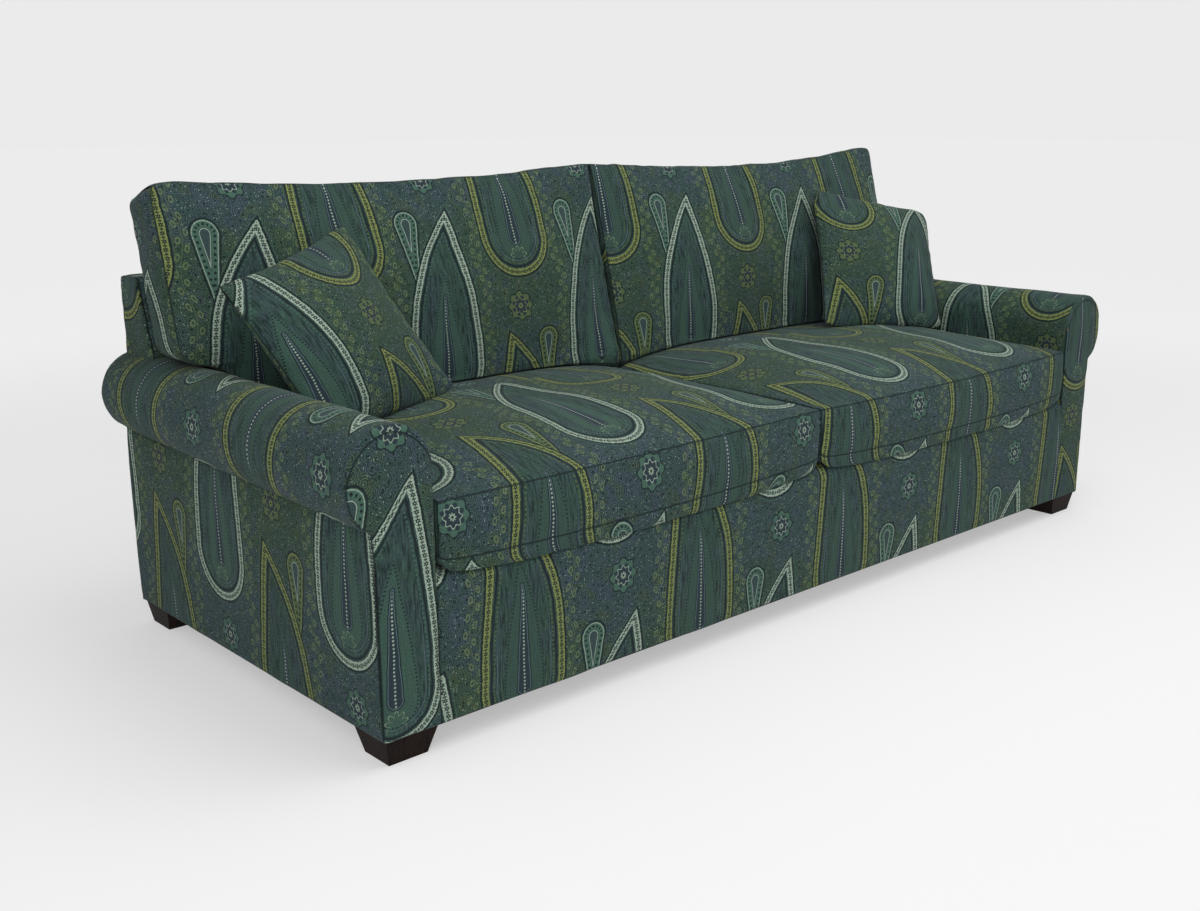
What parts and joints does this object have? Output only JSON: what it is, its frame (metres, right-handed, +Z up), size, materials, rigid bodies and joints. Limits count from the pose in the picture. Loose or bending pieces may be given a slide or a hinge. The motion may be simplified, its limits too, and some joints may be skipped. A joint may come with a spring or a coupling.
{
  "type": "three-seater sofa",
  "caption": "Long sofa with rolled arms, loose seat cushions, leaning back cushions that reach over the arms, throw pillows and low tapered feet, covered in a printed cloth.",
  "frame": {"origin": "on the floor under the middle of the base", "axes": "+X to the right seen from the front, +Y from the front to the back, +Z up"},
  "size_m": [2.29, 0.929, 0.926],
  "materials": {
    "print_cloth": "matte",
    "dust_cloth": "matte",
    "foam": "matte",
    "felt": "matte",
    "dark_wood": "satin",
    "frame_wood": "matte",
    "steel": "satin"
  },
  "bodies": {
    "frame": {"front_rail": "frame_wood", "rear_rail": "frame_wood", "side_rail_left": "frame_wood", "side_rail_right": "frame_wood", "centre_rail": "frame_wood", "corner_blocks": "frame_wood", "arm_front_left": "frame_wood", "arm_front_right": "frame_wood", "arm_rear_left": "frame_wood", "arm_rear_right": "frame_wood", "arm_top_rail_left": "frame_wood", "arm_top_rail_right": "frame_wood", "back_post_left": "frame_wood", "back_post_right": "frame_wood", "back_top_rail": "frame_wood", "back_low_rail": "frame_wood", "back_centre_post": "frame_wood", "seat_springs": "steel", "seat_spring_clips": "steel", "back_springs": "steel", "back_spring_clips": "steel", "spring_felt": "felt", "deck_pad": "foam", "front_rail_pad": "foam", "arm_pad_left": "foam", "arm_pad_right": "foam", "back_pad": "foam", "deck_cover": "print_cloth", "front_rail_cover": "print_cloth", "arm_inside_cover_left": "print_cloth", "arm_inside_cover_right": "print_cloth", "arm_outside_cover_left": "print_cloth", "arm_outside_cover_right": "print_cloth", "arm_front_cover_left": "print_cloth", "arm_front_cover_right": "print_cloth", "back_inside_cover": "print_cloth", "back_outside_cover": "print_cloth", "dust_cover": "dust_cloth", "foot_front_left": "dark_wood", "foot_front_right": "dark_wood", "foot_rear_left": "dark_wood", "foot_rear_right": "dark_wood", "foot_bolts": "steel", "foot_nuts": "steel"},
    "seat_cushion_left": {"seat_cushion_cover_left": "print_cloth", "seat_cushion_foam_left": "foam"},
    "back_cushion_left": {"back_cushion_cover_left": "print_cloth", "back_cushion_fill_left": "foam"},
    "throw_pillow_left": {"throw_pillow_cover_left": "print_cloth", "throw_pillow_fill_left": "foam"},
    "seat_zip_left": {"seat_zip_slider_left": "steel"},
    "back_zip_left": {"back_zip_slider_left": "steel"},
    "seat_cushion_right": {"seat_cushion_cover_right": "print_cloth", "seat_cushion_foam_right": "foam"},
    "back_cushion_right": {"back_cushion_cover_right": "print_cloth", "back_cushion_fill_right": "foam"},
    "throw_pillow_right": {"throw_pillow_cover_right": "print_cloth", "throw_pillow_fill_right": "foam"},
    "seat_zip_right": {"seat_zip_slider_right": "steel"},
    "back_zip_right": {"back_zip_slider_right": "steel"}
  },
  "joints": [
    {"name": "seat_cushion_left_slide", "type": "slide", "parent": "frame", "child": "seat_cushion_left", "axis": [0, -1, 0], "range_m": [0, 0.72]},
    {"name": "back_cushion_left_lift", "type": "slide", "parent": "frame", "child": "back_cushion_left", "axis": [0, 0.2924, 0.9563], "range_m": [0, 0.45]},
    {"name": "throw_pillow_left_lift", "type": "slide", "parent": "seat_cushion_left", "child": "throw_pillow_left", "axis": [0, -0.5, 0.866], "range_m": [0, 0.35]},
    {"name": "seat_zip_left_slide", "type": "slide", "parent": "seat_cushion_left", "child": "seat_zip_left", "axis": [1, 0, 0], "range_m": [0, 0.714]},
    {"name": "back_zip_left_slide", "type": "slide", "parent": "back_cushion_left", "child": "back_zip_left", "axis": [1, 0, 0], "range_m": [0, 0.714]},
    {"name": "seat_cushion_right_slide", "type": "slide", "parent": "frame", "child": "seat_cushion_right", "axis": [0, -1, 0], "range_m": [0, 0.72]},
    {"name": "back_cushion_right_lift", "type": "slide", "parent": "frame", "child": "back_cushion_right", "axis": [0, 0.2924, 0.9563], "range_m": [0, 0.45]},
    {"name": "throw_pillow_right_lift", "type": "slide", "parent": "seat_cushion_right", "child": "throw_pillow_right", "axis": [0, -0.5, 0.866], "range_m": [0, 0.35]},
    {"name": "seat_zip_right_slide", "type": "slide", "parent": "seat_cushion_right", "child": "seat_zip_right", "axis": [-1, 0, 0], "range_m": [0, 0.714]},
    {"name": "back_zip_right_slide", "type": "slide", "parent": "back_cushion_right", "child": "back_zip_right", "axis": [-1, 0, 0], "range_m": [0, 0.714]}
  ]
}
